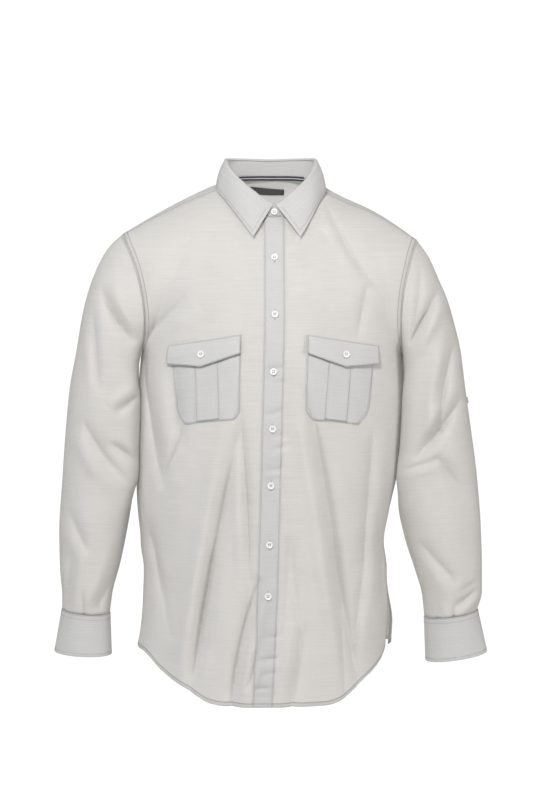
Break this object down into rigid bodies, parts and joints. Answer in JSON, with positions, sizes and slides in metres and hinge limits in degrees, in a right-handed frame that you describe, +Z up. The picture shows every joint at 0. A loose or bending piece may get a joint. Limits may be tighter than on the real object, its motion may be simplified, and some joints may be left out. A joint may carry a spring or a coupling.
{
  "type": "button-down shirt",
  "caption": "Long-sleeved button-front shirt with a pointed collar, flapped chest pockets, curved hem and buttoned cuffs, filled out as if worn.",
  "frame": {"origin": "the middle of the back neck seam, where the shirt is held up", "axes": "+Z up, +X towards the wearer's left, so the front faces -Y"},
  "size_m": [0.6798, 0.2869, 0.8337],
  "materials": {
    "cloth": "matt greige slub chambray, one layer",
    "cloth_double": "the same chambray, two or more layers",
    "button": "white, slightly pearly, semi-gloss",
    "tape": "woven navy tape with a white stripe",
    "label": "dark grey satin, bare"
  },
  "bodies": {
    "root": {"front_left": "cloth", "front_right": "cloth", "placket": "cloth_double", "button_stand": "cloth_double", "yoke": "cloth_double", "back": "cloth", "collar_stand": "cloth_double", "collar_leaf": "cloth_double", "neck_tape": "tape", "label": "label", "sleeve_left": "cloth", "sleeve_right": "cloth", "sleeve_placket_left": "cloth_double", "sleeve_placket_right": "cloth_double", "cuff_left": "cloth_double", "cuff_right": "cloth_double", "pocket_left": "cloth_double", "pocket_right": "cloth_double", "pocket_pleat_left": "cloth_double", "pocket_pleat_right": "cloth_double", "flap_left": "cloth_double", "flap_right": "cloth_double", "button_1": "button", "button_2": "button", "button_3": "button", "button_4": "button", "button_5": "button", "button_6": "button", "button_7": "button", "button_8": "button", "button_flap_left": "button", "button_flap_right": "button", "button_cuff_left": "button", "button_cuff_right": "button", "button_tab_left": "button", "button_tab_right": "button"}
  },
  "joints": []
}
